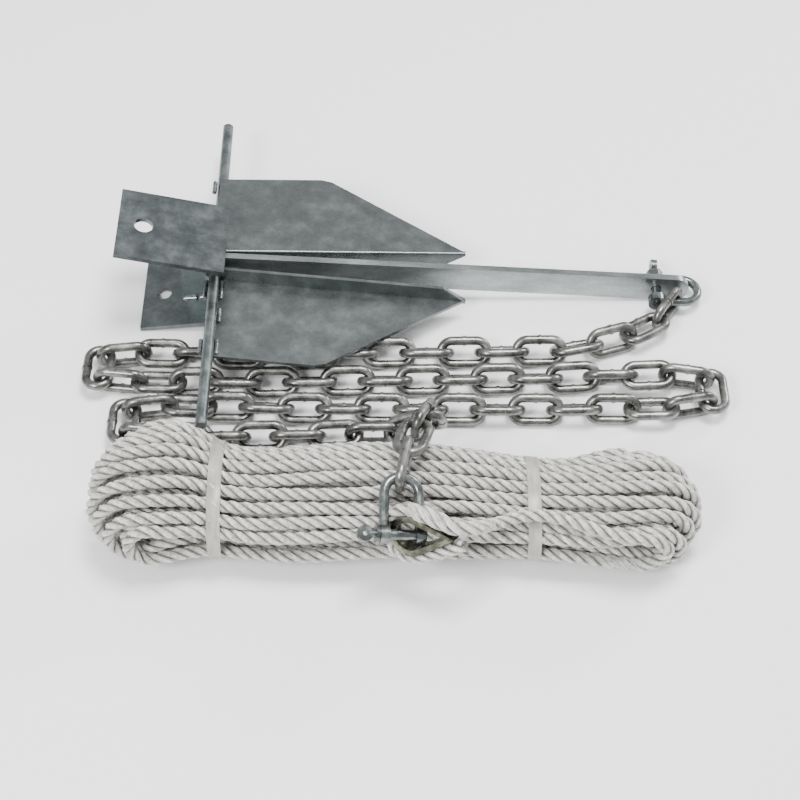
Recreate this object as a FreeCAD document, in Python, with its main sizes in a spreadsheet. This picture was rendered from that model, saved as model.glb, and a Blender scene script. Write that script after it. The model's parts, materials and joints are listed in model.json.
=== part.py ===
import FreeCAD, Part
import math
import os

# Fluke anchor with its galvanised chain, rode shackle, thimble and tied hank of rope, in millimetres.
# Frame: floor at z = 0, origin under the middle of the anchor, +X from the stock to the anchor shackle,
# +Y to the far fluke. The anchor is modelled lying flat, its own frame being the stock axis (origin),
# the shank (X) and the flukes' plane (XY), pitched so that the lower palm's rear edge rests on the floor.

SIZES = [
    # placement of the anchor
    ("PinX", 211.265), ("RodeShift", -2.7), ("PinZ", 14.6), ("Reach", 386.0),
    # shank and stock
    ("ShankHeight", 25.5), ("ShankThick", 6.0), ("ShankNose", 29.0), ("ShankTail", 20.0),
    ("StockDia", 9.5), ("StockLength", 360.0), ("StockChamfer", 1.0), ("SwingClear", 0.5), ("WeldFit", 0.3),
    # flukes
    ("PlateThick", 3.0), ("PlateGap", 0.3), ("FoldY", 8.85), ("FoldRearX", -8.0), ("FoldAngle", 3.1),
    ("FlukeLength", 226.3), ("LipEnd", 206.0), ("PlateRear", 6.0), ("OuterRearX", 10.9), ("OuterRearY", 90.7),
    ("OuterFrontX", 107.7), ("OuterY", 91.5), ("CornerCut", 6.0), ("FoldRadius", 1.6),
    # palms and cheeks
    ("PalmWidth", 78.8), ("PalmThick", 4.0), ("PalmFrontX", 9.8), ("PalmFrontZ", 32.2),
    ("UpperRun", 91.7), ("UpperRise", 15.7), ("LowerRun", 72.5), ("LowerRise", 13.8),
    ("UpperHoleDia", 16.0), ("UpperHoleBack", 71.3), ("LowerHoleDia", 13.5), ("LowerHoleBack", 55.8),
    ("CheekThick", 4.0), ("CheekInnerY", 4.75), ("CheekRearX", -29.0), ("BeadRadius", 2.6),
    # shackles
    ("BowWire", 7.5), ("BowRadius", 13.75), ("BowLeg", 23.0), ("BowShift", -3.5), ("PinDia", 8.0),
    ("EarRadius", 8.0), ("PinClear", 0.2), ("CollarRadius", 6.6), ("CollarThick", 2.6),
    ("HeadRadius", 6.2), ("HeadThick", 5.4), ("HeadHole", 2.0), ("NeckLength", 3.0),
    ("RodeBowWire", 7.6), ("RodeBowLeg", 30.5), ("RodeEarRadius", 7.0),
    # chain
    ("ChainWire", 7.7), ("ChainInner", 32.6), ("ChainWidth", 27.5), ("CollarSwell", 0.55),
    # rope, thimble and tapes
    ("RopeDia", 10.0), ("SpliceDia", 15.0), ("ThimbleEye", 11.5), ("ThimbleLip", 16.5), ("ThimbleWide", 11.0),
    ("ThimbleTip", 38.0), ("ThimbleWall", 1.3), ("RopeFit", 0.15), ("HankWidth", 100.0), ("HankFlat", 0.685), ("HankLift", 0.4),
    ("TapeWidth", 10.0), ("TapeThick", 0.8), ("TapeGap", 0.3),
]

doc = FreeCAD.newDocument("FlukeAnchor")
sheet = doc.addObject("Spreadsheet::Sheet", "Sheet")
for row, (alias, number) in enumerate(SIZES, start=1):
    sheet.set("A%d" % row, alias)
    sheet.set("B%d" % row, str(number))
    sheet.setAlias("B%d" % row, alias)
doc.recompute()

V = FreeCAD.Vector
AX, AY, AZ = V(1, 0, 0), V(0, 1, 0), V(0, 0, 1)


class Size:
    """A sheet value, or something worked out from sheet values: its number and its expression."""

    def __init__(self, number, text):
        self.n, self.t = float(number), text

    def _with(self, other, sign, number):
        return Size(number, "(%s %s %s)" % (self.t, sign, other.t))

    def __add__(self, other):
        other = size(other)
        return self._with(other, "+", self.n + other.n)

    def __sub__(self, other):
        other = size(other)
        return self._with(other, "-", self.n - other.n)

    def __mul__(self, other):
        other = size(other)
        return self._with(other, "*", self.n * other.n)

    def __truediv__(self, other):
        other = size(other)
        return self._with(other, "/", self.n / other.n)

    def __neg__(self):
        return size(0) - self

    def root(self):
        return Size(math.sqrt(self.n), "sqrt(%s)" % self.t)


def size(value):
    return value if isinstance(value, Size) else Size(value, repr(float(value)))


S = {alias: Size(number, "Sheet." + alias) for alias, number in SIZES}
N = dict(SIZES)


def bind(obj, **props):
    """Binds an object's properties to sheet expressions."""
    for name, value in props.items():
        obj.setExpression(name, size(value).t)
    return obj


def place(x=0.0, y=0.0, z=0.0, axis=AZ, angle=0.0):
    return FreeCAD.Placement(V(x, y, z), FreeCAD.Rotation(axis, angle))


def body(label):
    made = doc.addObject("PartDesign::Body", label)
    made.Label = label
    return made


def plane_sketch(owner, name, role):
    made = owner.newObject("Sketcher::SketchObject", name)
    plane = [f for f in owner.Origin.OriginFeatures if f.Role == role][0]
    made.AttachmentSupport = [(plane, "")]
    made.MapMode = "FlatFace"
    return made


def pin_point(sk, geo, end, point):
    """Ties one point of a sketch to the sheet."""
    for kind, value in (("DistanceX", size(point[0])), ("DistanceY", size(point[1]))):
        index = sk.addConstraint(Sketcher.Constraint(kind, -1, 1, geo, end, value.n))
        sk.setExpression("Constraints[%d]" % index, value.t)


def polygon(owner, name, role, points):
    sk = plane_sketch(owner, name, role)
    count = len(points)
    flat = [V(size(p[0]).n, size(p[1]).n, 0) for p in points]
    for i in range(count):
        sk.addGeometry(Part.LineSegment(flat[i], flat[(i + 1) % count]), False)
    for i in range(count):
        sk.addConstraint(Sketcher.Constraint("Coincident", i, 2, (i + 1) % count, 1))
    for i, point in enumerate(points):
        pin_point(sk, i, 1, point)
    return sk


def circles(owner, name, role, rounds):
    sk = plane_sketch(owner, name, role)
    for i, (x, y, radius) in enumerate(rounds):
        x, y, radius = size(x), size(y), size(radius)
        sk.addGeometry(Part.Circle(V(x.n, y.n, 0), AZ, radius.n), False)
        pin_point(sk, i, 3, (x, y))
        index = sk.addConstraint(Sketcher.Constraint("Radius", i, radius.n))
        sk.setExpression("Constraints[%d]" % index, radius.t)
    return sk


def pad(owner, sk, length, midplane=False, reverse=False):
    made = owner.newObject("PartDesign::Pad", sk.Name + "Pad")
    made.Profile = sk
    made.Midplane = midplane
    made.Reversed = reverse
    bind(made, Length=length)
    sk.Visibility = False
    return made


def through(owner, sk, length=None):
    """Cuts a sketch right through the body, or to a depth, and makes sure it cut something."""
    doc.recompute()
    before = owner.Shape.Volume
    made = owner.newObject("PartDesign::Pocket", sk.Name + "Cut")
    made.Profile = sk
    if length is None:
        made.Type = 1
        made.Midplane = True
    else:
        bind(made, Length=length)
    doc.recompute()
    if owner.Shape.Volume > before - 1:
        raise RuntimeError("%s cuts nothing" % made.Name)
    return made


def edge_names(shape, test):
    return ["Edge%d" % (i + 1) for i, edge in enumerate(shape.Edges) if test(edge)]


def primitive(kind, name, at, **props):
    made = doc.addObject("Part::" + kind, name)
    bind(made, **props)
    made.Placement = at
    return made


def union(name, parts):
    made = doc.addObject("Part::MultiFuse", name)
    made.Shapes = parts
    return made


def cut(name, base, tool):
    made = doc.addObject("Part::Cut", name)
    made.Base = base
    made.Tool = tool
    return made


def feature(label, shape):
    made = doc.addObject("Part::Feature", label)
    made.Label = label
    made.Shape = shape
    return made


import Sketcher  # noqa: E402  (after FreeCAD)

# ---------------------------------------------------------------- anchor frame
NODES = []
UPPER_SLOPE = S["UpperRise"] / S["UpperRun"]
LOWER_SLOPE = S["LowerRise"] / S["LowerRun"]
lower_rear_x = N["PalmFrontX"] - N["LowerRun"] - N["Reach"]
lower_rear_z = N["PalmFrontZ"] + N["LowerRise"]
PITCH = math.acos(N["PinZ"] / math.hypot(lower_rear_z, lower_rear_x)) - math.atan2(-lower_rear_x, lower_rear_z)
stock_x = N["PinX"] - N["Reach"] * math.cos(PITCH)
stock_z = N["PinZ"] + N["Reach"] * math.sin(PITCH)
ANCHOR = place(stock_x, 0, stock_z, AY, math.degrees(PITCH))
FLIP = place(0, 0, 0, AX, 180)
print("pitch %.3f deg, stock axis at x %.2f z %.2f" % (math.degrees(PITCH), stock_x, stock_z))


def keep(obj, label, at=None):
    obj.Label = label
    if at is not None:
        obj.Placement = at
    NODES.append(obj)
    return obj


def make_shank():
    made = body("shank")
    half = S["ShankHeight"] / 2
    low, high = half - S["ShankTail"], S["Reach"] + S["ShankNose"] - half
    bar = polygon(made, "ShankBar", "XZ_Plane", [(low, -half), (high, -half), (high, half), (low, half)])
    pad(made, bar, S["ShankThick"], midplane=True)
    ends = circles(made, "ShankTailEnd", "XZ_Plane", [(low, 0, half)])
    pad(made, ends, S["ShankThick"], midplane=True)
    ends = circles(made, "ShankNoseEnd", "XZ_Plane", [(high, 0, half)])
    pad(made, ends, S["ShankThick"], midplane=True)
    holes = circles(made, "ShankHoles", "XZ_Plane", [
        (0, 0, S["StockDia"] / 2 + S["SwingClear"]), (S["Reach"], 0, S["PinDia"] / 2 + S["SwingClear"])])
    through(made, holes)
    return keep(made, "shank", ANCHOR)


def make_stock_rod():
    """A plain round rod; its two ends are chamfered."""
    rod = primitive("Cylinder", "StockRod", place(0, 0, 0, AX, 90), Radius=S["StockDia"] / 2,
                    Height=S["StockLength"])
    doc.recompute()
    ends = doc.addObject("Part::Chamfer", "Stock")
    ends.Base = rod
    ends.Edges = [(i + 1, N["StockChamfer"], N["StockChamfer"]) for i, e in enumerate(rod.Shape.Edges) if e.Closed]
    rod.Placement = place(0, 0, 0, AX, 0)
    at = ANCHOR.multiply(place(0, N["StockLength"] / 2, 0, AX, 90))
    return keep(ends, "stock", at)


def make_fluke(label, flip):
    """One fluke: a flat blade on top of the stock with a lip folded down along the shank."""
    made = body(label)
    top = S["StockDia"] / 2 + S["PlateGap"] + S["PlateThick"]
    under = S["StockDia"] / 2 + S["PlateGap"]
    lip = polygon(made, label + "Lip", "XZ_Plane", [
        (0, -top), (S["LipEnd"], -top), (S["FlukeLength"], under), (S["FlukeLength"], top), (0, top)])
    pad(made, lip, S["PlateThick"], reverse=True)
    outer = S["OuterY"]
    blade = polygon(made, label + "Blade", "XY_Plane", [
        (S["PlateRear"], 0), (S["FlukeLength"], 0), (S["FlukeLength"], 1.0),
        (S["OuterFrontX"] + S["CornerCut"] * 0.6, outer - S["CornerCut"] * 0.5),
        (S["OuterFrontX"] - S["CornerCut"], outer), (S["OuterRearX"], S["OuterRearY"])])
    blade.AttachmentOffset = place(0, 0, under.n)
    blade.setExpression(".AttachmentOffset.Base.z", under.t)
    pad(made, blade, S["PlateThick"])
    bore = circles(made, label + "Bore", "XZ_Plane", [
        (-S["FoldRearX"], 0, S["StockDia"] / 2 + S["WeldFit"])])
    through(made, bore, S["PlateThick"])
    fold = made.newObject("PartDesign::Fillet", label + "Fold")
    straight = edge_names(made.Shape, lambda e: e.Length > N["FlukeLength"] * 0.6 and
                          all(abs(v.Y) < 0.01 and abs(v.Z - top.n) < 0.01 for v in e.Vertexes))
    fold.Base = (made.Tip if made.Tip.Name != fold.Name else fold.BaseFeature, straight)
    bind(fold, Radius=S["FoldRadius"])
    at = place(N["FoldRearX"], N["FoldY"], 0, AZ, N["FoldAngle"])
    turn = ANCHOR.multiply(FLIP) if flip else ANCHOR
    return keep(made, label, turn.multiply(at))


def make_palm(label, run, rise, hole, back, lower):
    """A flat palm with a round hole; its outer face is on its local +Z side."""
    made = body(label)
    length = (run * run + rise * rise).root()
    half = S["PalmWidth"] / 2
    plate = polygon(made, label + "Plate", "XY_Plane", [
        (-length, -half), (0, -half), (0, half), (-length, half)])
    pad(made, plate, S["PalmThick"])
    through(made, circles(made, label + "Hole", "XY_Plane", [(-back, 0, hole / 2)]))
    tilt = math.degrees(math.atan2(rise.n, run.n))
    at = place(N["PalmFrontX"], 0, N["PalmFrontZ"], AY, tilt).multiply(place(0, 0, -N["PalmThick"]))
    turn = ANCHOR.multiply(FLIP) if lower else ANCHOR
    return keep(made, label, turn.multiply(at))


def make_cheek(label, flip):
    """An upright plate between the palms, beside the shank, with the stock through it."""
    made = body(label)
    up = S["PalmThick"] * (UPPER_SLOPE * UPPER_SLOPE + 1).root()
    down = S["PalmThick"] * (LOWER_SLOPE * LOWER_SLOPE + 1).root()
    front, rear = S["PalmFrontX"] - 1.0, S["CheekRearX"]

    def top(x):
        return S["PalmFrontZ"] + (S["PalmFrontX"] - x) * UPPER_SLOPE - up

    def low(x):
        return -(S["PalmFrontZ"] + (S["PalmFrontX"] - x) * LOWER_SLOPE - down)

    side = polygon(made, label + "Side", "XZ_Plane", [
        (rear, low(rear)), (front, low(front)), (front, top(front)), (rear, top(rear))])
    pad(made, side, S["CheekThick"], midplane=True)
    through(made, circles(made, label + "Bore", "XZ_Plane", [(0, 0, S["StockDia"] / 2 + S["WeldFit"])]))
    y = N["CheekInnerY"] + N["CheekThick"] / 2
    return keep(made, label, ANCHOR.multiply(place(0, y if flip else -y, 0)))


def make_welds(fluke_far, fluke_near, stock, palms, cheeks):
    """Weld beads: round rods laid in the corners and cut back to the faces they join."""
    radius = S["BeadRadius"]
    reach = N["StockDia"] / 2 + 1.6
    on_stock, tools = [], union("StockWeldTools", [fluke_far, fluke_near, stock] + cheeks)
    for i, (side, start, length) in enumerate([(1, 16, 20), (1, 46, 14), (1, 86, 13), (-1, 16, 20), (-1, 48, 15),
                                               (-1, 84, 15)]):
        far = place(0, 0, 0) if side > 0 else FLIP
        for j, x in enumerate((reach, -reach - 0.4)):
            if j and i % 3 == 1:
                continue
            at = ANCHOR.multiply(far).multiply(place(x, start + length, reach - 1.9, AX, 90))
            on_stock.append(primitive("Cylinder", "StockBead%d%d" % (i, j), at, Radius=radius * 0.8, Height=length))
    welds = cut("StockWelds", union("StockBeads", on_stock), tools)
    keep(welds, "welds_stock")
    feet, tools = [], union("PalmWeldTools", palms + cheeks + [fluke_far, fluke_near])
    y = N["CheekInnerY"] + N["CheekThick"] + 0.6
    for i, (side, upper) in enumerate(((-1, 0), (-1, 1), (1, 0), (1, 1))):
        slope = N["UpperRise"] / N["UpperRun"] if upper else N["LowerRise"] / N["LowerRun"]
        for j, (x, length) in enumerate(((-27, 11), (-13, 9), (-1, 8))):
            z = N["PalmFrontZ"] + (N["PalmFrontX"] - x) * slope - N["PalmThick"] - 0.9
            tilt = math.degrees(math.atan(slope))
            at = place(x, side * y, z if upper else -z, AY, 90 + (tilt if upper else -tilt))
            feet.append(primitive("Cylinder", "FootBead%d%d" % (i, j), ANCHOR.multiply(at),
                                  Radius=radius, Height=length))
    keep(cut("PalmWelds", union("FootBeads", feet), tools), "welds_palms")


def make_bow(label, wire, leg, ear, at):
    """A D bow: local origin on the pin axis, the bow towards +X, the pin along Y."""
    radius = S["BowRadius"]
    thick = wire * 0.92
    crown = primitive("Torus", label + "Crown", place(leg.n, 0, 0, AZ, -90), Radius1=radius, Radius2=wire / 2)
    crown.Angle3 = 180
    crown.setExpression(".Placement.Base.x", leg.t)
    parts = [crown]
    for i, side in enumerate((-1, 1)):
        parts.append(primitive("Cylinder", label + "Leg%d" % i, place(0, side * radius.n, 0, AY, 90),
                               Radius=wire / 2, Height=leg))
        parts[-1].setExpression(".Placement.Base.y", (radius * side).t)
        parts.append(primitive("Cylinder", label + "Ear%d" % i, place(0, side * radius.n + thick.n / 2, 0, AX, 90),
                               Radius=ear, Height=thick))
        parts[-1].setExpression(".Placement.Base.y", (radius * side + thick / 2).t)
    bore = primitive("Cylinder", label + "Bore", place(0, 60, 0, AX, 90), Radius=S["PinDia"] / 2 + S["PinClear"])
    bore.Height = 120
    return keep(cut(label + "Bored", union(label + "Solid", parts), bore), label, at)


def make_pin(label, wire, at, flat):
    """The pin with its collar and drilled eye head on the local +Y side."""
    out = S["BowRadius"] + wire / 2
    near = out + 1.2
    stem = primitive("Cylinder", label + "Stem", place(0, out.n, 0, AX, 90), Radius=S["PinDia"] / 2,
                     Height=out + near)
    stem.setExpression(".Placement.Base.y", out.t)
    start = out + 0.3
    collar = primitive("Cylinder", label + "Collar", place(0, start.n + N["CollarThick"], 0, AX, 90),
                       Radius=S["CollarRadius"], Height=S["CollarThick"])
    collar.setExpression(".Placement.Base.y", (start + S["CollarThick"]).t)
    neck_end = start + S["CollarThick"] + S["NeckLength"] + 2.0
    neck = primitive("Cylinder", label + "Neck", place(0, neck_end.n, 0, AX, 90), Radius=S["PinDia"] / 2 * 0.8,
                     Height=S["NeckLength"] + S["CollarThick"] + 3.0)
    neck.setExpression(".Placement.Base.y", neck_end.t)
    centre = start + S["CollarThick"] + S["NeckLength"] + S["HeadRadius"] * 0.8
    turn = FreeCAD.Rotation(AY, 90) if flat else FreeCAD.Rotation()
    half = S["HeadThick"] / 2
    shift = turn.multVec(V(0, 0, -half.n))
    head = primitive("Cylinder", label + "Head", FreeCAD.Placement(V(shift.x, centre.n, shift.z), turn),
                     Radius=S["HeadRadius"], Height=S["HeadThick"])
    head.setExpression(".Placement.Base.y", centre.t)
    hole_at = turn.multVec(V(0, 0, -10))
    hole = primitive("Cylinder", label + "Eye", FreeCAD.Placement(V(hole_at.x, centre.n, hole_at.z), turn),
                     Radius=S["HeadHole"])
    hole.Height = 20
    hole.setExpression(".Placement.Base.y", centre.t)
    return keep(cut(label + "Made", union(label + "Solid", [stem, collar, neck, head]), hole), label, at)


# ---------------------------------------------------------------- chain
def make_link():
    """One welded link along X, its loop in XY: two half rings, two straight sides and a weld collar."""
    wire = N["ChainWire"] / 2
    radius = N["ChainWidth"] / 2 - wire
    half = (N["ChainInner"] + N["ChainWire"]) / 2 - radius
    right = Part.makeTorus(radius, wire, V(), AZ, 0, 360, 180)
    right.Placement = place(half, 0, 0, AZ, -90)
    left = Part.makeTorus(radius, wire, V(), AZ, 0, 360, 180)
    left.Placement = place(-half, 0, 0, AZ, 90)
    sides = [Part.makeCylinder(wire, 2 * half, V(-half, y, 0), AX) for y in (-radius, radius)]
    collar = Part.makeCylinder(wire + N["CollarSwell"], 2.4, V(-1.2, radius, 0), AX)
    link = right.fuse([left] + sides + [collar]).removeSplitter()
    return link


# How far each link's middle lies from a joint: in line, links share the joint evenly; where the chain turns,
# the link lying in the plane of the turn holds the other link's end wire inside its loop.
EVEN = (N["ChainInner"] - 0.35) / 2
INSIDE = N["ChainInner"] / 2 - N["ChainWire"] / 2 - 0.35
AT_END = (N["ChainInner"] + N["ChainWire"]) / 2
NEAR_LEG = (227.5, N["BowShift"] - N["BowRadius"], 13.95)
CROWN = (-9.8, -264.9, 85.0)

# The chain from the anchor shackle to the rode shackle: (node, links, where the last of them ends, that
# link's middle-to-joint length, the next link's, how the links lie). Points without a height lie on the floor.
CHAIN = [
    ("chain_lead", 1, (210.5, -42.5), AT_END, INSIDE, 88.0), ("chain_lead", 1, (186.0, -56.5), EVEN, EVEN, -12.0),
    ("chain_lead", 1, (155.9, -66.5), EVEN, EVEN, 60.0), ("chain_lead", 1, (124.4, -73.0), EVEN, EVEN, -37.0),
    ("chain_row_1", 11, (-229.3, -77.6), EVEN, EVEN, None),
    ("chain_turn_left", 1, (-265.8, -82.0), AT_END, INSIDE, "stand"),
    ("chain_turn_left", 1, (-265.8, -106.0), INSIDE, AT_END, "flat"),
    ("chain_turn_left", 1, (-229.5, -110.2), EVEN, EVEN, "stand"),
    ("chain_row_2", 14, (214.2, -101.5), EVEN, EVEN, None),
    ("chain_turn_right", 1, (250.2, -108.0), AT_END, INSIDE, "stand"),
    ("chain_turn_right", 1, (250.2, -132.0), INSIDE, AT_END, "flat"),
    ("chain_turn_right", 1, (214.0, -138.7), EVEN, EVEN, "stand"),
    ("chain_row_3", 13, (-202.2, -135.8), EVEN, EVEN, None),
    ("chain_turn_back", 1, (-238.6, -140.8), AT_END, INSIDE, "stand"),
    ("chain_turn_back", 1, (-238.6, -164.8), INSIDE, AT_END, "flat"),
    ("chain_turn_back", 1, (-202.6, -169.8), EVEN, EVEN, "stand"),
    ("chain_row_4", 5, (-49.0, -166.5), EVEN, EVEN, None),
    ("chain_row_4", 1, (-21.0, -166.2, 13.9), INSIDE, AT_END, "stand"),
    ("chain_tail", 1, (14.0, -170.4, 33.8), AT_END, INSIDE, "across"),
    ("chain_tail", 1, (10.8, -184.6, 63.0), AT_END, INSIDE, "between"),
    ("chain_tail", 1, (4.0, -204.4, 75.4), INSIDE, AT_END, "along"),
    ("chain_tail", 1, (-5.7, -241.3, 86.0), AT_END, INSIDE, "flat"),
    ("chain_tail", 1, CROWN, INSIDE, AT_END, "stand"),
]


def link_plan():
    """Every link as [node, how it lies, joint, joint, middle's share of the way between them]."""
    plan, start, out = [], NEAR_LEG, INSIDE - 1.8
    for name, count, end, last_in, next_out, lie in CHAIN:
        for k in range(count):
            a, b = ([start[j] + (end[j] - start[j]) * t for j in (0, 1)] for t in (k / count, (k + 1) / count))
            first, last = out if k == 0 else EVEN, last_in if k == count - 1 else EVEN
            plan.append([name, lie, a, b, first / (first + last)])
            plan[-1].append(end[2] if len(end) > 2 and k == count - 1 else None)
        start, out = end, next_out
    return plan


def rolls(plan):
    """Links lie at 45 degrees either way; near a turn they swing upright and flat in turn."""
    swings = {}
    for i, item in enumerate(plan):
        way = 45.0 if i % 2 == 0 else -45.0
        lie = item[1]
        if lie is None:
            continue
        roll = {"stand": 2 * way, "flat": 0.0, "across": 0.0, "between": 0.0, "along": 2 * way}.get(lie, lie)
        swings[i] = roll - way
    out = []
    for i in range(len(plan)):
        way = 45.0 if i % 2 == 0 else -45.0
        if i in swings:
            out.append(swings[i] + way)
            continue
        before = max(j for j in swings if j < i)
        after = min(j for j in swings if j > i)
        swing = swings[before] * max(0, 1 - (i - before) / 3) + swings[after] * max(0, 1 - (after - i) / 3)
        out.append(swing + way)
    return out


def make_chain():
    link = make_link()
    plan = link_plan()
    roll = rolls(plan)
    reach = N["ChainWidth"] / 2 - N["ChainWire"] / 2
    tall = [N["ChainWire"] / 2 + 0.15 + reach * abs(math.sin(math.radians(r))) for r in roll]
    heights = [NEAR_LEG[2]]
    for i, item in enumerate(plan):
        heights.append(item[5] if item[5] is not None else max(tall[i], tall[min(i + 1, len(plan) - 1)]))
    groups, order = {}, []
    ends = [[V(p[0] + N["RodeShift"], p[1], heights[i + k]) for k, p in enumerate(item[2:4])]
            for i, item in enumerate(plan)]
    ways = [(b - a).normalize() for a, b in ends]
    for i, (name, lie, _, _, share, _) in enumerate(plan):
        (a, b), along = ends[i], ways[i]
        side = along.cross(AZ).normalize()
        turn = math.radians(roll[i])
        across = side * math.cos(turn) + side.cross(along) * math.sin(turn)
        if lie in ("across", "between", "along"):
            # the plane of the loop set by the links before and after
            hinge, fold = along.cross(ways[i + 1]).normalize(), ways[i - 1] - along * ways[i - 1].dot(along)
            fold = fold.normalize()
            across = {"across": hinge, "along": fold,
                      "between": (fold + hinge * (1 if hinge.dot(fold) > 0 else -1)).normalize()}[lie]
        made = link.copy()
        made.Placement = FreeCAD.Placement(
            a + (b - a) * share, FreeCAD.Rotation(along, across, along.cross(across), "XYZ"))
        if name not in groups:
            groups[name] = []
            order.append(name)
        groups[name].append(made)
    print("links", len(plan), {name: len(groups[name]) for name in order})
    for name in order:
        keep(feature(name, Part.makeCompound(groups[name])), name)


# ---------------------------------------------------------------- thimble, rope and tapes
def turned(along, normal, at):
    """A placement whose X lies along the thimble and whose Z is its plane's normal."""
    along.normalize()
    across = normal.cross(along).normalize()
    return FreeCAD.Placement(at, FreeCAD.Rotation(along, across, along.cross(across), "XYZ"))


def thimble_frame():
    tilt, swing = math.radians(26.0), 8.0
    out = V(0, -0.9, 0.44).normalize()
    along = AX * math.cos(tilt) + out * math.sin(tilt)
    normal = out * math.cos(tilt) - AX * math.sin(tilt)
    return turned(along, normal, V(-2.3 + N["RodeShift"], -302.7, 64.2)).multiply(place(0, 0, 0, AZ, swing))


def tear_drop(radius, tip, height):
    """A flat drop: a round of the given radius drawn out to a point at x = tip."""
    angle = math.acos(radius / tip)
    top = V(radius * math.cos(angle), radius * math.sin(angle), 0)
    low = V(top.x, -top.y, 0)
    edges = [Part.Arc(top, V(-radius, 0, 0), low).toShape(), Part.makeLine(low, V(tip, 0, 0)),
             Part.makeLine(V(tip, 0, 0), top)]
    solid = Part.Face(Part.Wire(edges)).extrude(V(0, 0, height))
    solid.translate(V(0, 0, -height / 2))
    return solid


EYE_END = 43.0


def eye_tube(radius):
    """The rope round the thimble: a half ring and two straights that close in on the throat."""
    ring = N["ThimbleEye"] + N["ThimbleWall"] + N["RopeDia"] / 2
    lean = math.asin((ring - N["RopeDia"] / 2 - 0.5) / EYE_END)
    start = V(ring * math.sin(lean), ring * math.cos(lean), 0)
    low = V(start.x, -start.y, 0)
    along = V(math.cos(lean), -math.sin(lean), 0)
    length = (EYE_END - start.x) / along.x
    end = start + along * length
    path = Part.Wire([Part.makeLine(end, start), Part.Arc(start, V(-ring, 0, 0), low).toShape(),
                      Part.makeLine(low, V(end.x, -end.y, 0))])
    section = Part.Wire([Part.makeCircle(radius, end, along)])
    made = path.makePipeShell([section], True, False)
    print("eye radius %.2f, straight %.2f" % (ring, length))
    return made, path.Length


def make_thimble_and_eye(hank, shackle):
    at = thimble_frame()
    rope, run = eye_tube(N["RopeDia"] / 2)
    groove, _ = eye_tube(N["RopeDia"] / 2 + N["RopeFit"])
    shell = tear_drop(N["ThimbleLip"], N["ThimbleTip"], N["ThimbleWide"])
    hole = tear_drop(N["ThimbleEye"], N["ThimbleTip"] - 8.0, N["ThimbleWide"] + 4)
    thimble = shell.cut(hole).cut(groove)
    solids = sorted(thimble.Solids, key=lambda s: -s.Volume)
    print("thimble solids", [round(s.Volume) for s in solids], "eye volume", round(rope.Volume),
          "section x length", round(run * math.pi * N["RopeDia"] ** 2 / 4))
    thimble = solids[0]
    thimble.transformShape(at.toMatrix())
    rope = rope.copy()
    rope.transformShape(at.toMatrix())
    for piece in [hank] + shackle:
        rope = rope.cut(piece)
    return thimble.cut(hank), rope


def tube(points, radius, name):
    """A rope run: straights joined by arcs, the arcs as wide as the shorter straight allows."""
    edges, last = [], points[0]
    radii = []
    for i in range(1, len(points) - 1):
        a, b, c = points[i - 1], points[i], points[i + 1]
        u, v = (a - b).normalize(), (c - b).normalize()
        half = (math.pi - u.getAngle(v)) / 2
        bend = 0.45 * min((a - b).Length, (c - b).Length) / math.tan(half)
        back = bend * math.tan(half)
        p, q = b + u * back, b + v * back
        middle = b + (u + v).normalize() * (bend / math.cos(half) - bend)
        edges.append(Part.makeLine(last, p))
        edges.append(Part.Arc(p, middle, q).toShape())
        last = q
        radii.append(bend)
    edges.append(Part.makeLine(last, points[-1]))
    path = Part.Wire(edges)
    section = Part.Wire([Part.makeCircle(radius, points[0], points[1] - points[0])])
    made = path.makePipeShell([section], True, False)
    print("%s: radii %s, volume %.0f, section x length %.0f" % (
        name, " ".join("%.0f" % r for r in radii), made.Volume, math.pi * radius ** 2 * path.Length))
    return made


STATIONS = [  # along X, half-width and height as shares of the middle, sideways shift
    (-254.0, 0.40, 0.40, -244.5), (-248.0, 0.72, 0.70, -246.8), (-238.0, 0.98, 0.96, -249.0),
    (-222.0, 1.15, 1.14, -251.2), (-205.0, 1.24, 1.24, -249.8), (-188.0, 1.24, 1.24, -246.8),
    (-168.0, 1.12, 1.12, -245.0), (-153.0, 1.00, 0.99, -246.8), (-134.0, 0.97, 0.95, -250.9),
    (-89.0, 1.02, 1.01, -252.2), (-34.0, 1.03, 1.03, -250.4), (28.0, 1.00, 0.99, -249.2),
    (67.0, 0.92, 0.91, -251.5), (92.0, 0.88, 0.87, -253.5), (118.0, 0.91, 0.90, -256.4),
    (146.0, 0.96, 0.95, -259.0), (176.0, 1.01, 1.00, -259.0), (196.0, 0.95, 0.94, -256.7),
    (209.0, 0.79, 0.78, -253.7), (218.0, 0.56, 0.56, -248.7), (224.0, 0.30, 0.30, -243.0),
]
STATIONS = [(x + N["RodeShift"], wide, high, y) for x, wide, high, y in STATIONS]


def station_at(x):
    for low, high in zip(STATIONS, STATIONS[1:]):
        if low[0] <= x <= high[0]:
            t = (x - low[0]) / (high[0] - low[0])
            return [low[k] + (high[k] - low[k]) * t for k in range(4)]
    return STATIONS[-1]


def oval(x, grow, name):
    """An upright ellipse across the hank, resting on the floor."""
    _, wide, high, y = station_at(x)
    half = S["HankWidth"] / 2
    made = doc.addObject("Part::Ellipse", name)
    bind(made, MajorRadius=half * wide + grow, MinorRadius=half * S["HankFlat"] * high + grow)
    rotation = FreeCAD.Rotation(AY, V(0, 0, 1), AX, "XYZ")
    centre = half * S["HankFlat"] * high + S["HankLift"]
    made.Placement = FreeCAD.Placement(V(x, y, centre.n), rotation)
    made.setExpression(".Placement.Base.z", centre.t)
    return made


def make_hank():
    made = doc.addObject("Part::Loft", "Hank")
    made.Sections = [oval(s[0], size(0), "HankOval%d" % i) for i, s in enumerate(STATIONS)]
    made.Solid, made.Ruled = True, False
    doc.recompute()
    return keep(made, "rope_hank")


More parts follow.
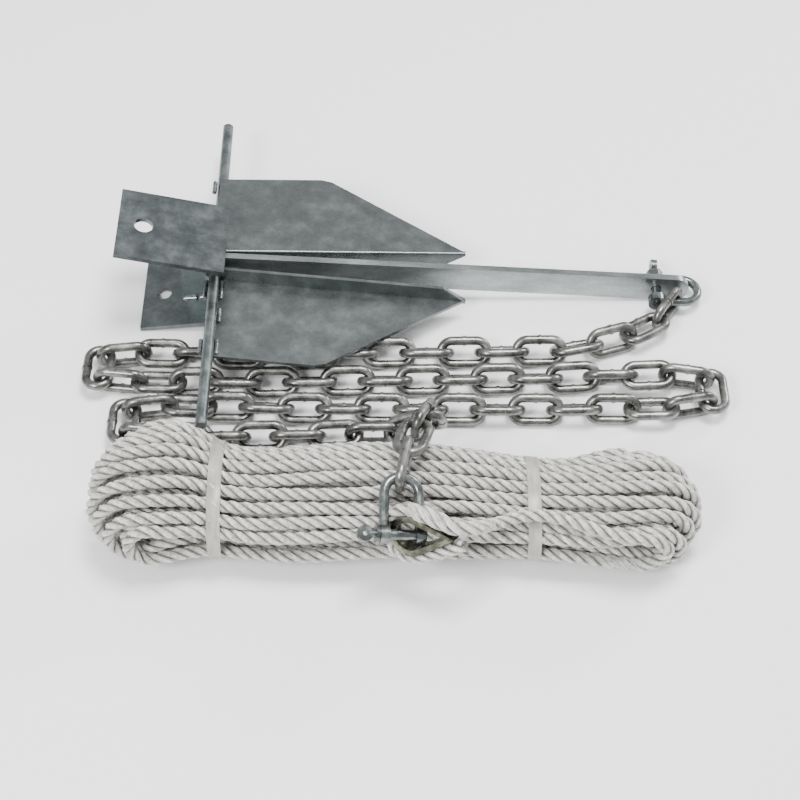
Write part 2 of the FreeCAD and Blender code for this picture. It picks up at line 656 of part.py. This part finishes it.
def make_tape(label, x):
    """A thin band round the hank where it is tied."""
    half = S["TapeWidth"] / 2
    rings = []
    for name, grow in (("Out", S["TapeGap"] + S["TapeThick"]), ("In", S["TapeGap"])):
        reach = half if name == "Out" else half + 1.5
        loft = doc.addObject("Part::Loft", label + name)
        ovals = []
        for i, side in enumerate((-1, -0.33, 0.33, 1)):
            ovals.append(oval(x + side * reach.n, grow, label + name + str(i)))
        loft.Sections = ovals
        loft.Solid, loft.Ruled = True, False
        rings.append(loft)
    return keep(cut(label + "Band", rings[0], rings[1]), label)


LEAD = [(58.5, -299.0, 69.5), (80.0, -290.0, 68.0), (100.0, -287.5, 65.5), (122.0, -293.0, 63.5),
        (146.0, -300.5, 60.5), (172.0, -303.5, 57.5), (194.0, -299.5, 51.5)]


def make_rope_lead(hank, blockers):
    at = thimble_frame()
    throat = at.multVec(V(EYE_END + 0.2, 0, 0))
    points = [V(*p) + V(N["RodeShift"], 0, 0) for p in LEAD]
    print("throat", throat)
    splice = tube([throat] + points[:2], N["SpliceDia"] / 2, "rope_splice")
    lead = tube(points[1:], N["RopeDia"] / 2, "rope_lead")
    for blocker in [hank] + blockers:
        splice = splice.cut(blocker)
        lead = lead.cut(blocker)
    lead = lead.cut(splice)
    splice, lead = (sorted(s.Solids, key=lambda one: -one.Volume)[0] for s in (splice, lead))
    keep(feature("rope_splice", splice), "rope_splice")
    keep(feature("rope_lead", lead), "rope_lead")


# ---------------------------------------------------------------- the whole
shank = make_shank()
stock = make_stock_rod()
far = make_fluke("fluke_far", False)
near = make_fluke("fluke_near", True)
upper = make_palm("palm_upper", S["UpperRun"], S["UpperRise"], S["UpperHoleDia"], S["UpperHoleBack"], False)
lower = make_palm("palm_lower", S["LowerRun"], S["LowerRise"], S["LowerHoleDia"], S["LowerHoleBack"], True)
cheeks = [make_cheek("cheek_far", True), make_cheek("cheek_near", False)]
doc.recompute()
make_welds(far, near, stock, [upper, lower], cheeks)
SHACKLE = ANCHOR.multiply(place(N["Reach"], N["BowShift"], 0))
make_bow("anchor_shackle_bow", S["BowWire"], S["BowLeg"], S["EarRadius"], SHACKLE)
make_pin("anchor_shackle_pin", S["BowWire"], SHACKLE, True)
make_chain()
PIN_AT = V(-9.5 + N["RodeShift"], -304.9, 66.0)
CROWN_AT = V(*CROWN) + V(N["RodeShift"], 0, 0)
bow_along = (CROWN_AT - PIN_AT).normalize()
RODE = FreeCAD.Placement(PIN_AT, FreeCAD.Rotation(bow_along, -AX, bow_along.cross(-AX), "XYZ"))
RODE = RODE.multiply(place(0, 0, 0, AX, 14.0))
rode_bow = make_bow("rode_shackle_bow", S["RodeBowWire"], S["RodeBowLeg"], S["RodeEarRadius"], RODE)
rode_pin = make_pin("rode_shackle_pin", S["RodeBowWire"], RODE, False)
hank = make_hank()
left_tape, right_tape = make_tape("tape_left", -155.7), make_tape("tape_right", 89.3)
doc.recompute()
thimble, eye = make_thimble_and_eye(hank.Shape, [rode_bow.Shape, rode_pin.Shape])
keep(feature("thimble", thimble), "thimble")
keep(feature("rope_eye", eye), "rope_eye")
make_rope_lead(hank.Shape, [eye, thimble, right_tape.Shape])
doc.recompute()

for obj in doc.Objects:
    if "Invalid" in obj.State or "Error" in obj.State:
        raise RuntimeError("%s failed: %s" % (obj.Label, obj.State))
for node in NODES:
    if node.Shape.isNull() or not node.Shape.isValid():
        raise RuntimeError("%s has a bad shape" % node.Label)

os.makedirs("parts", exist_ok=True)
for node in NODES:
    node.Shape.exportStep("parts/%s.step" % node.Label)
anchor_box = FreeCAD.BoundBox()
for node in NODES[:12]:
    anchor_box.add(node.Shape.BoundBox)
print("%d nodes, anchor box %s" % (len(NODES), anchor_box))
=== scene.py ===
import json
import math

import bpy
import numpy as np
from mathutils import Matrix, Vector


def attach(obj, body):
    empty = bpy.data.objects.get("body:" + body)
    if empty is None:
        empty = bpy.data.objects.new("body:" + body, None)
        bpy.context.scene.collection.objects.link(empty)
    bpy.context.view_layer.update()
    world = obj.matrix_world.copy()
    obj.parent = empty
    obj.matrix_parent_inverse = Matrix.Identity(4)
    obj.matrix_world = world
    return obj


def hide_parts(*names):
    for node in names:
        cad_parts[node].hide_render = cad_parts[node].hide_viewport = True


# Fluke anchor with chain and rope. The rope's route is in mm, and the rest in metres.
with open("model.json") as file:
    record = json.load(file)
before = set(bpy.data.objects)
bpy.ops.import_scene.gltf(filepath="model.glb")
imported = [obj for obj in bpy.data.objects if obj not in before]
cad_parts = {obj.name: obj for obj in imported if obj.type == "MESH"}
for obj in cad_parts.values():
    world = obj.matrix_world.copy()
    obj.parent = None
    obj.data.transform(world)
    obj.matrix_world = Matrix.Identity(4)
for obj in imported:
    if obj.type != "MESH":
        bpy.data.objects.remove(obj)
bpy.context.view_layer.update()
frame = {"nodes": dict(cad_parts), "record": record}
MM = 0.001

# ------------------------------------------------------------------ camera
CAMERA_AT = (-0.0137, -1.0822, 1.1491)
CAMERA_TILT = math.radians(40.0)
camera_data = bpy.data.cameras.new("camera")
camera_data.lens, camera_data.sensor_width = 80.0, 36.0
camera = bpy.data.objects.new("camera", camera_data)
camera.location, camera.rotation_euler = CAMERA_AT, (CAMERA_TILT, 0, 0)
bpy.context.scene.collection.objects.link(camera)
bpy.context.scene.camera = camera

# ------------------------------------------------------------------ the rope's route
ROPE_D, LAY, SHIFT = 10.0, 31.0, -2.7  # mm; the strands turn once in LAY
LAYER = 9.6  # how much further in each layer of turns lies
FLOOR_GAP = 0.6  # the hank's underside above the floor
TIES_X = (-155.7, 89.3)
STEP = 2.8  # between points along the rope
# The hank's outline, mm: along X, half-width, half-height, middle in Y.
HANK = np.array([(x + SHIFT, 50 * wide, 34.25 * high, y) for x, wide, high, y in [
    (-254.0, 0.40, 0.40, -244.5), (-248.0, 0.72, 0.70, -246.8), (-238.0, 0.98, 0.96, -249.0),
    (-222.0, 1.15, 1.14, -251.2), (-205.0, 1.24, 1.24, -249.8), (-188.0, 1.24, 1.24, -246.8),
    (-168.0, 1.12, 1.12, -245.0), (-153.0, 1.00, 0.99, -246.8), (-134.0, 0.97, 0.95, -250.9),
    (-89.0, 1.02, 1.01, -252.2), (-34.0, 1.03, 1.03, -250.4), (28.0, 1.00, 0.99, -249.2),
    (67.0, 0.92, 0.91, -251.5), (92.0, 0.88, 0.87, -253.5), (118.0, 0.91, 0.90, -256.4),
    (146.0, 0.96, 0.95, -259.0), (176.0, 1.01, 1.00, -259.0), (196.0, 0.95, 0.94, -256.7),
    (209.0, 0.79, 0.78, -253.7), (218.0, 0.56, 0.56, -248.7), (224.0, 0.30, 0.30, -243.0)]])
RUN_X = [178, 146, 118, 92, 60, 25, -15, -55, -95, -128, -153, -172, -188]  # where a run's points lie
LEAD = [(62.0, -294.5, 65.5), (80.0, -284.0, 61.0), (100.0, -282.5, 60.0), (122.0, -289.1, 59.2),
        (146.0, -297.6, 57.3), (168.0, -302.2, 57.0), (186.0, -301.5, 52.0), (196.0, -300.0, 38.0),
        (186.0, -299.0, 22.5), (166.0, -298.0, 16.5)]
# The eye round the thimble, in the thimble's own plane, mm from the middle of its round end.
EYE = [(43, -5.4), (28, -11.4), (12, -17.2), (-4, -20.6), (-16.5, -14.5), (-21.0, 0.0), (-16.5, 14.5),
       (-4, 20.6), (12, 17.2), (28, 11.4), (44, 6.5)]
THIMBLE_AT, THIMBLE_TILT, THIMBLE_SWING = (-2.3 + SHIFT, -302.7, 64.2), math.radians(26.0), math.radians(8.0)


def thimble_axes():
    """The thimble's plane: along it to the tip, and across it."""
    out = Vector((0, -0.9, 0.44)).normalized()
    along = Vector((1, 0, 0)) * math.cos(THIMBLE_TILT) + out * math.sin(THIMBLE_TILT)
    normal = out * math.cos(THIMBLE_TILT) - Vector((1, 0, 0)) * math.sin(THIMBLE_TILT)
    turn = Matrix.Rotation(THIMBLE_SWING, 3, normal)
    return turn @ along, turn @ normal.cross(along)


def eye_points():
    along, across = thimble_axes()
    return [tuple(Vector(THIMBLE_AT) + along * u + across * w) for u, w in EYE]


def outline(x):
    return [np.interp(x, HANK[:, 0], HANK[:, k]) for k in (1, 2, 3)]


def ruffle(k, x, phase):
    """A small steady waviness, so that no two turns lie quite alike; none under the ties."""
    tied = min(abs(x - tie) for tie in TIES_X)
    return 1.9 * min(1.0, tied / 45.0) * math.sin(1.7 * k + 0.031 * x * (1 + 0.13 * (k % 5)) + phase)


TURNS = ([(angle, 0) for angle in np.linspace(173, 7, 11)] +
         [(angle, 1) for angle in np.linspace(14, 166, 8)] +
         [(angle, 2) for angle in np.linspace(150, 30, 4)])


def turn_at(k):
    """Angle round the hank, in radians, and layer of turn k, which may lie between two turns."""
    low = int(min(max(math.floor(k), 0), len(TURNS) - 1))
    high = min(low + 1, len(TURNS) - 1)
    t = k - low
    angle = TURNS[low][0] * (1 - t) + TURNS[high][0] * t
    return math.radians(angle), TURNS[low][1] * (1 - t) + TURNS[high][1] * t


def run_point(k, x, side):
    angle, layer = turn_at(k)
    wide, high, middle = outline(x)
    inset = ROPE_D / 2 + layer * LAYER * high / 30
    wide, high = wide - inset, max(high - inset, 3.0)
    y = middle + wide * math.cos(angle) + ruffle(k, x, 0.4)
    lift = outline(x)[1] + FLOOR_GAP
    return (x, y, lift + side * high * math.sin(angle) + ruffle(k, x, 2.1) * 0.7)


def end_of(k, way):
    """Where a turn's end loop has its middle, how far it reaches and how tall it is."""
    angle, layer = turn_at(k)
    widest = 4 if way < 0 else 16
    wide, high, _ = HANK[widest, 1:]
    across = (wide - ROPE_D / 2 - layer * LAYER) * abs(math.cos(angle))
    part = HANK[:widest + 1] if way < 0 else HANK[widest:][::-1]
    tip = float(np.interp(across + ROPE_D / 2, part[:, 1], part[:, 0]))
    tip -= way * (ROPE_D / 2 + layer * LAYER)
    tall = max((high - ROPE_D / 2 - layer * LAYER) * math.sin(angle), 20.0 - 3.5 * layer)
    reach = min(tall, 34.0)
    return tip - way * reach, reach, tall


def end_loop(k, way, side):
    """The loop at one end, from the side it comes in on to the other."""
    middle, reach, tall = end_of(k, way)
    _, y, _ = run_point(k, middle, side)
    lift = outline(middle)[1] + FLOOR_GAP
    out = []
    for phi in (15, 45, 75, 105, 135, 165):
        a = math.radians(phi)
        out.append((middle + way * reach * math.sin(a) * 1.04, y, lift + side * tall * math.cos(a)))
    return out


def hank_points():
    points = []
    for k in range(len(TURNS) - 1):
        left, right = end_of(k + 1, -1)[0], end_of(k, 1)[0]
        if k:
            points += end_loop(k, 1, 1)
        inside = [x + SHIFT for x in RUN_X if left + 8 < x + SHIFT < right - (8 if k else 22)]
        for i, x in enumerate(inside):
            points.append(run_point(k + (i + 1) / (len(inside) + 1), x, -1))
        points += end_loop(k + 1, -1, -1)
        right = end_of(k + 1, 1)[0]
        for x in [x + SHIFT for x in RUN_X[::-1] if left + 8 < x + SHIFT < right - 8]:
            points.append(run_point(k + 1, x, 1))
    return points


def spline_path(name, points_mm, step):
    """The line of one NURBS spline through its control points, at even steps."""
    data = bpy.data.curves.new(name, "CURVE")
    data.dimensions, data.resolution_u = "3D", 12
    spline = data.splines.new("NURBS")
    spline.points.add(len(points_mm) - 1)
    for point, place in zip(spline.points, points_mm):
        point.co = (place[0] * MM, place[1] * MM, place[2] * MM, 1)
    spline.order_u, spline.use_endpoint_u = 3, True
    made = bpy.data.objects.new(name, data)
    bpy.context.scene.collection.objects.link(made)
    mesh = bpy.data.meshes.new_from_object(made)
    line = np.array([v.co for v in mesh.vertices])
    bpy.data.objects.remove(made)
    bpy.data.meshes.remove(mesh)
    run = np.concatenate([[0], np.cumsum(np.linalg.norm(np.diff(line, axis=0), axis=1))])
    at = np.linspace(0, run[-1], int(run[-1] / step) + 1)
    return np.stack([np.interp(at, run, line[:, k]) for k in range(3)], 1), run[-1]


def carried_frames(line):
    """A frame carried along the line without twisting."""
    way = np.gradient(line, axis=0)
    way /= np.linalg.norm(way, axis=1, keepdims=True)
    first = np.cross(way[0], (0.3, 0.2, 1.0))
    sides = [first / np.linalg.norm(first)]
    for t in way[1:]:
        s = sides[-1] - t * np.dot(sides[-1], t)
        sides.append(s / np.linalg.norm(s))
    sides = np.array(sides)
    return way, sides, np.cross(way, sides)


def laid_strands(name, line, radius, strands, strand_radius, lay, phase=0.0, around=7):
    """Strands laid right-handed round the line. radius and strand_radius may change along it."""
    way, side, up = carried_frames(line)
    run = np.concatenate([[0], np.cumsum(np.linalg.norm(np.diff(line, axis=0), axis=1))])
    radius = np.broadcast_to(np.asarray(radius, float), run.shape)
    strand_radius = np.broadcast_to(np.asarray(strand_radius, float), run.shape)
    verts, faces, crevice_shade, fibre = [], [], [], []
    count = len(line)
    ring = np.linspace(0, 2 * math.pi, around, endpoint=False)
    for s in range(strands):
        turn = 2 * math.pi * (run / lay + s / strands) + phase
        out = side * np.cos(turn)[:, None] + up * np.sin(turn)[:, None]
        round_ = up * np.cos(turn)[:, None] - side * np.sin(turn)[:, None]
        middle = line + out * radius[:, None]
        rise = way + round_ * (2 * math.pi * radius / lay)[:, None]
        rise /= np.linalg.norm(rise, axis=1, keepdims=True)
        across = np.cross(rise, out)
        base = s * count * around
        block = (middle[:, None] + strand_radius[:, None, None] * (
            out[:, None] * np.cos(ring)[None, :, None] + across[:, None] * np.sin(ring)[None, :, None]))
        verts.append(block.reshape(-1, 3))
        # Painted shade mask: the cosine round each strand, 1 on its outer face and -1 on the face towards the
        # rope's middle; the rope material paints shade where it is low.
        crevice_shade.append(np.tile(np.cos(ring), count))
        fibre.append(np.stack([np.repeat(run, around), np.tile(ring, count) + s * 2.1], 1))
        i = np.arange(count - 1)[:, None] * around + base
        j = np.arange(around)[None, :]
        nxt = (j + 1) % around
        faces.append(np.stack([i + j, i + nxt, i + around + nxt, i + around + j], 2).reshape(-1, 4))
    verts, faces = np.concatenate(verts), np.concatenate(faces)
    caps = []
    for s in range(strands):
        base = s * count * around
        caps.append([base + k for k in range(around)][::-1])
        caps.append([base + (count - 1) * around + k for k in range(around)])
    mesh = bpy.data.meshes.new(name)
    mesh.from_pydata(verts.tolist(), [], faces.tolist() + caps)
    mesh.validate()
    mesh.shade_smooth()
    for label, values in (("crevice_shade", np.concatenate(crevice_shade)), ("run", np.concatenate(fibre)[:, 0]),
                          ("ring", np.concatenate(fibre)[:, 1])):
        layer = mesh.attributes.new(label, "FLOAT", "POINT")
        layer.data.foreach_set("value", values.astype(np.float32))
    made = bpy.data.objects.new(name, mesh)
    bpy.context.scene.collection.objects.link(made)
    return made


# ------------------------------------------------------------------ materials
def tree_of(name):
    made = bpy.data.materials.new(name)
    made.use_nodes = True
    nodes, links = made.node_tree.nodes, made.node_tree.links
    shader = nodes["Principled BSDF"]
    return made, nodes, links, shader


def ramp(nodes, links, source, stops):
    made = nodes.new("ShaderNodeValToRGB")
    for i, (at, colour) in enumerate(stops):
        stop = made.color_ramp.elements[i] if i < 2 else made.color_ramp.elements.new(at)
        stop.position = at
        stop.color = (*colour, 1) if len(colour) == 3 else colour
    links.new(source, made.inputs[0])
    return made.outputs[0]


def noise(nodes, links, scale, detail=4.0, rough=0.6, stretch=None):
    made = nodes.new("ShaderNodeTexNoise")
    made.inputs["Scale"].default_value = scale
    made.inputs["Detail"].default_value = detail
    made.inputs["Roughness"].default_value = rough
    coords = nodes.new("ShaderNodeTexCoord")
    if stretch:
        mapping = nodes.new("ShaderNodeMapping")
        mapping.inputs["Scale"].default_value = stretch
        links.new(coords.outputs["Object"], mapping.inputs["Vector"])
        links.new(mapping.outputs[0], made.inputs["Vector"])
    else:
        links.new(coords.outputs["Object"], made.inputs["Vector"])
    return made.outputs["Fac"]


def mix(nodes, links, kind, factor, a, b):
    made = nodes.new("ShaderNodeMix")
    made.data_type, made.blend_type = "RGBA", kind
    made.inputs[0].default_value = factor
    links.new(a, made.inputs[6])
    links.new(b, made.inputs[7])
    return made.outputs[2]


def bump(nodes, links, shader, height, strength, distance):
    made = nodes.new("ShaderNodeBump")
    made.inputs["Strength"].default_value = strength
    made.inputs["Distance"].default_value = distance
    links.new(height, made.inputs["Height"])
    links.new(made.outputs[0], shader.inputs["Normal"])


def zinc(name, dark, mid, bright, metallic=0.92, rough=(0.32, 0.55), blotch=28.0, grain=420.0, lumps=0.12,
         stretch=None):
    """Hot-dipped zinc: cloudy grey blotches, a fine grain, satin with duller patches, a lumpy surface."""
    made, nodes, links, shader = tree_of(name)
    cloud = noise(nodes, links, blotch, 5.0, 0.62, stretch)
    fine = noise(nodes, links, grain, 3.0, 0.7)
    colour = ramp(nodes, links, cloud, [(0.30, dark), (0.72, bright), (0.5, mid)])
    grey = ramp(nodes, links, fine, [(0.25, (0.72, 0.72, 0.72)), (0.75, (1.0, 1.0, 1.0))])
    links.new(mix(nodes, links, "MULTIPLY", 0.8, colour, grey), shader.inputs["Base Color"])
    dull = ramp(nodes, links, cloud, [(0.3, (rough[0],) * 3), (0.7, (rough[1],) * 3)])
    links.new(dull, shader.inputs["Roughness"])
    shader.inputs["Metallic"].default_value = metallic
    bump(nodes, links, shader, noise(nodes, links, grain * 0.35, 4.0, 0.6), lumps, 0.0006)
    return made


def attribute(nodes, name):
    made = nodes.new("ShaderNodeAttribute")
    made.attribute_name = name
    return made.outputs["Fac"]


def arithmetic(nodes, links, kind, a, b):
    made = nodes.new("ShaderNodeMath")
    made.operation = kind
    for socket, value in zip(made.inputs, (a, b)):
        if isinstance(value, (int, float)):
            socket.default_value = value
        else:
            links.new(value, socket)
    return made.outputs[0]


def rope_fibre(name):
    """White laid rope: white satin crowns, grey-brown painted shade on the strands' faces towards the rope's middle
    where the crevices lie, fine yarn lines along the strands.
    """
    made, nodes, links, shader = tree_of(name)
    crevice_shade, run, ring = (attribute(nodes, n) for n in ("crevice_shade", "run", "ring"))
    yarn = arithmetic(nodes, links, "SINE", arithmetic(nodes, links, "ADD", arithmetic(
        nodes, links, "MULTIPLY", ring, 9.0), arithmetic(nodes, links, "MULTIPLY", run, 260.0)), 0.0)
    # Painted shade: grey-brown on the strands' inner faces, where the crevices between strands lie, white on their
    # outer faces.
    painted_crevice_shade = ramp(nodes, links, crevice_shade, [(0.0, (0.24, 0.215, 0.185)), (0.9, (0.95, 0.95, 0.94)),
                                       (0.45, (0.66, 0.64, 0.605))])
    cloud = noise(nodes, links, 230.0, 5.0, 0.75)
    patch = ramp(nodes, links, cloud, [(0.40, (0.50, 0.475, 0.435)), (0.56, (1.0, 1.0, 1.0))])
    lines = ramp(nodes, links, yarn, [(0.0, (0.78, 0.77, 0.75)), (0.6, (1.0, 1.0, 1.0))])
    colour = mix(nodes, links, "MULTIPLY", 0.8, painted_crevice_shade, patch)
    colour = mix(nodes, links, "MULTIPLY", 0.7, colour, lines)
    links.new(colour, shader.inputs["Base Color"])
    links.new(ramp(nodes, links, cloud, [(0.35, (0.28,) * 3), (0.6, (0.5,) * 3)]), shader.inputs["Roughness"])
    shader.inputs["Sheen Weight"].default_value = 0.2
    bump(nodes, links, shader, yarn, 0.6, 0.0006)
    return made


def tape_plastic(name):
    made, nodes, links, shader = tree_of(name)
    cloud = noise(nodes, links, 220.0, 3.0, 0.6, (1.0, 0.25, 0.25))
    links.new(ramp(nodes, links, cloud, [(0.3, (0.36, 0.335, 0.29)), (0.7, (0.56, 0.535, 0.485))]),
              shader.inputs["Base Color"])
    shader.inputs["Roughness"].default_value = 0.3
    shader.inputs["Transmission Weight"].default_value = 0.25
    bump(nodes, links, shader, cloud, 0.2, 0.0005)
    return made


MATERIALS = {
    "galvanised_shank": zinc("zinc_shank", (0.22, 0.24, 0.24), (0.32, 0.345, 0.345), (0.50, 0.53, 0.53),
                             blotch=45.0, stretch=(0.3, 1, 1), rough=(0.25, 0.42)),
    "galvanised_stock": zinc("zinc_stock", (0.09, 0.105, 0.105), (0.16, 0.18, 0.18), (0.30, 0.33, 0.33),
                             blotch=70.0),
    "galvanised_fluke": zinc("zinc_fluke", (0.155, 0.172, 0.172), (0.185, 0.203, 0.202),
                             (0.245, 0.265, 0.263), blotch=50.0, rough=(0.24, 0.38)),
    # Painted shade: the palms take a darker copy of the galvanised zinc, standing in for the shadow and dark
    # reflections that fall on them.
    "galvanised_palm": zinc("zinc_palm_painted_shade", (0.105, 0.12, 0.12), (0.14, 0.158, 0.16), (0.215, 0.24, 0.24),
                            blotch=60.0, rough=(0.26, 0.42)),
    "weld_zinc": zinc("zinc_weld", (0.15, 0.165, 0.165), (0.26, 0.28, 0.28), (0.46, 0.48, 0.48),
                      rough=(0.2, 0.4), blotch=190.0, lumps=0.6),
    "chain_zinc": zinc("zinc_chain", (0.10, 0.10, 0.094), (0.205, 0.203, 0.193), (0.37, 0.368, 0.35),
                       blotch=90.0, rough=(0.22, 0.40), lumps=0.4),
    "shackle_zinc": zinc("zinc_shackle", (0.09, 0.105, 0.10), (0.175, 0.195, 0.19), (0.34, 0.365, 0.355),
                         blotch=90.0, rough=(0.18, 0.34)),
    "pin_zinc": zinc("zinc_pin", (0.09, 0.10, 0.098), (0.17, 0.19, 0.185), (0.38, 0.40, 0.40), blotch=120.0,
                     rough=(0.14, 0.30)),
    "thimble_steel": zinc("steel_thimble", (0.025, 0.025, 0.018), (0.09, 0.09, 0.066), (0.30, 0.30, 0.24),
                          blotch=95.0, rough=(0.14, 0.3)),
    "rope_white": rope_fibre("rope_fibre"),
    "tape_clear": tape_plastic("tape_plastic"),
}
for part in frame["record"]["subparts"]:
    node = frame["nodes"][part["node"]]
    node.data.materials.clear()
    node.data.materials.append(MATERIALS[part["material_slot"]])

# ------------------------------------------------------------------ the rope
STRAND = ROPE_D / 2 * 0.464
route, rope_length = spline_path("rope_route", eye_points() + [
    (x + SHIFT, y, z) for x, y, z in LEAD] + hank_points(), STEP * MM)
rope = laid_strands("rope", route, (ROPE_D / 2 - STRAND) * MM * 0.97, 3, STRAND * MM * 1.15, LAY * MM)
rope.data.materials.append(MATERIALS["rope_white"])

SPLICE_FROM, SPLICE_LONG = 0.108, 0.074  # metres along the route from the eye's first point
run = np.concatenate([[0], np.cumsum(np.linalg.norm(np.diff(route, axis=0), axis=1))])
chosen = (run > SPLICE_FROM) & (run < SPLICE_FROM + SPLICE_LONG)
share = (run[chosen] - SPLICE_FROM) / SPLICE_LONG
swell = np.interp(share, [0, 0.12, 0.55, 1.0], [2.4, 4.6, 3.9, 2.2]) * MM
splice = laid_strands("rope_splice_tucks", route[chosen], swell, 4, 2.7 * MM, 46 * MM, phase=0.6, around=10)
splice.data.materials.append(MATERIALS["rope_white"])

for piece in (rope, splice):
    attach(piece, "rode")
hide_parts("rope_eye", "rope_lead", "rope_hank")
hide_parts("rope_splice")
print("rope length %.2f m, %d points" % (rope_length, len(route)))

# ------------------------------------------------------------------ floor and light
floor_mesh = bpy.data.meshes.new("floor")
FLOOR_HALF, FLOOR_Z = 4, -0.0006
floor_mesh.from_pydata([(x * FLOOR_HALF, y * FLOOR_HALF, FLOOR_Z) for x, y in ((-1, -1), (1, -1), (1, 1), (-1, 1))],
                       [], [(0, 1, 2, 3)])
floor = bpy.data.objects.new("floor", floor_mesh)
bpy.context.scene.collection.objects.link(floor)
floor_paint, nodes, links, shader = tree_of("floor_paint")
shader.inputs["Base Color"].default_value = (0.97, 0.97, 0.97, 1)
shader.inputs["Roughness"].default_value = 0.9
shader.inputs["Specular IOR Level"].default_value = 0.1
floor_mesh.materials.append(floor_paint)

world = bpy.data.worlds.new("studio")
world.use_nodes = True
world.node_tree.nodes["Background"].inputs[0].default_value = (0.97, 0.985, 1, 1)
world.node_tree.nodes["Background"].inputs[1].default_value = 0.84
bpy.context.scene.world = world


def area_light(name, place, aim, size, power):
    data = bpy.data.lights.new(name, "AREA")
    data.shape, data.size, data.energy = "DISK", size, power
    made = bpy.data.objects.new(name, data)
    made.location = place
    made.rotation_euler = (Vector(aim) - Vector(place)).to_track_quat("-Z", "Y").to_euler()
    bpy.context.scene.collection.objects.link(made)


area_light("key", (-1.1, -1.5, 1.7), (0, -0.1, 0), 0.8, 52)
area_light("top", (0.3, 0.0, 2.4), (0, -0.1, 0), 0.9, 72)
area_light("rim", (1.5, 1.1, 1.0), (0, -0.1, 0), 0.5, 20)
